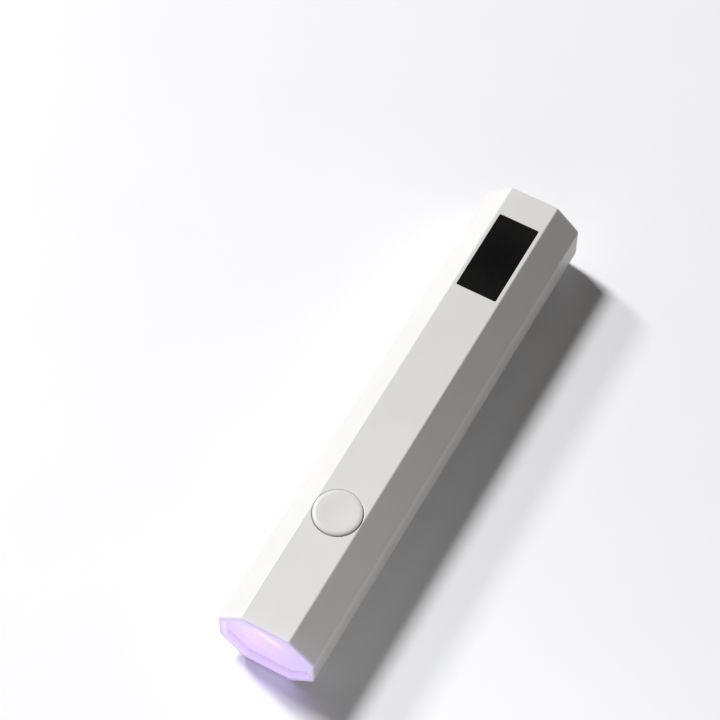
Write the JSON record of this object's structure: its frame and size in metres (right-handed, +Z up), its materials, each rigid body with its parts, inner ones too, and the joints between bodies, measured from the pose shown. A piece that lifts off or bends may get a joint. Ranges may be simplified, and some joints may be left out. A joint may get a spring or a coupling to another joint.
{
  "type": "uv led nail lamp",
  "caption": "Handheld wand lamp for curing nail gel: octagonal housing, push button, flush display window, recessed lens at one end and charging socket at the other.",
  "frame": {"origin": "middle of the bottom of the whole box, on the wand's flat underside", "axes": "+Z up through the button, +X along the wand towards the tail, so the lens faces -X"},
  "size_m": [0.128, 0.024, 0.0209],
  "materials": {
    "housing_white": "satin moulded plastic, fine matt texture",
    "button_white": "satin moulded plastic",
    "window_black": "smoked acrylic, satin face",
    "tape_black": "double-sided tape",
    "lens_lilac": "frosted lens, lit lavender by the UV LEDs behind it",
    "gasket_clear": "soft silicone",
    "reflector_chrome": "vacuum-metallised plastic cup",
    "led_ceramic": "white ceramic",
    "led_silicone": "clear silicone dome",
    "board_aluminium": "white solder mask over aluminium",
    "pad_grey": "soft pad",
    "heat_sink_aluminium": "as extruded",
    "screw_steel": "nickel plated",
    "switch_black": "moulded",
    "switch_steel": "stamped steel",
    "plunger_black": "moulded",
    "contact_tin": "tin plated",
    "display_black": "moulded display housing",
    "chassis_grey": "moulded",
    "board_green": "solder mask over glass fibre",
    "ferrite_black": "ferrite",
    "can_aluminium": "sleeveless can",
    "ceramic_tan": "fired ceramic",
    "resistor_black": "glazed",
    "socket_steel": "stamped and plated",
    "socket_black": "moulded",
    "cell_pouch": "laminated foil",
    "connector_white": "moulded",
    "wire_red": "insulated wire",
    "wire_black": "insulated wire",
    "chip_black": "moulded epoxy"
  },
  "bodies": {
    "housing": {"body_sleeve": "housing_white", "rear_cap": "housing_white", "cap_screws": "screw_steel", "display_window": "window_black", "window_adhesive": "tape_black", "front_lens": "lens_lilac", "lens_gasket": "gasket_clear", "reflector": "reflector_chrome", "led_packages": "led_ceramic", "led_domes": "led_silicone", "led_board": "board_aluminium", "thermal_pad": "pad_grey", "heat_sink": "heat_sink_aluminium", "led_board_screws": "screw_steel", "switch_body": "switch_black", "switch_cover": "switch_steel", "switch_dome": "switch_steel", "switch_pins": "contact_tin", "display_module": "display_black", "display_pins": "contact_tin", "chassis": "chassis_grey", "main_board": "board_green", "board_screws": "screw_steel", "chip_leads": "contact_tin", "inductor": "ferrite_black", "storage_capacitors": "can_aluminium", "chip_capacitors": "ceramic_tan", "chip_resistors": "resistor_black", "usb_shell": "socket_steel", "usb_tongue": "socket_black", "battery_cell": "cell_pouch", "battery_tabs": "contact_tin", "protection_board": "board_green", "battery_pad": "pad_grey", "battery_header": "connector_white", "battery_plug": "connector_white", "battery_lead_red": "wire_red", "battery_lead_black": "wire_black", "led_lead_red": "wire_red", "led_lead_black": "wire_black", "micro_controller": "chip_black", "charge_chip": "chip_black", "driver_chip": "chip_black"},
    "button": {"power_button": "button_white"},
    "plunger": {"switch_plunger": "plunger_black"}
  },
  "joints": [
    {"name": "button_press", "type": "slide", "parent": "housing", "child": "button", "axis": [0, 0, -1], "range_m": [0, 0.00035], "stiffness_N_per_m": 2000, "springref_m": -0.0004},
    {"name": "plunger_press", "type": "slide", "parent": "housing", "child": "plunger", "axis": [0, 0, -1], "range_m": [0, 0.00035], "deforming": ["switch_dome"]}
  ],
  "couplings": [
    {"joint": "plunger_press", "follows": "button_press", "ratio": 1}
  ]
}
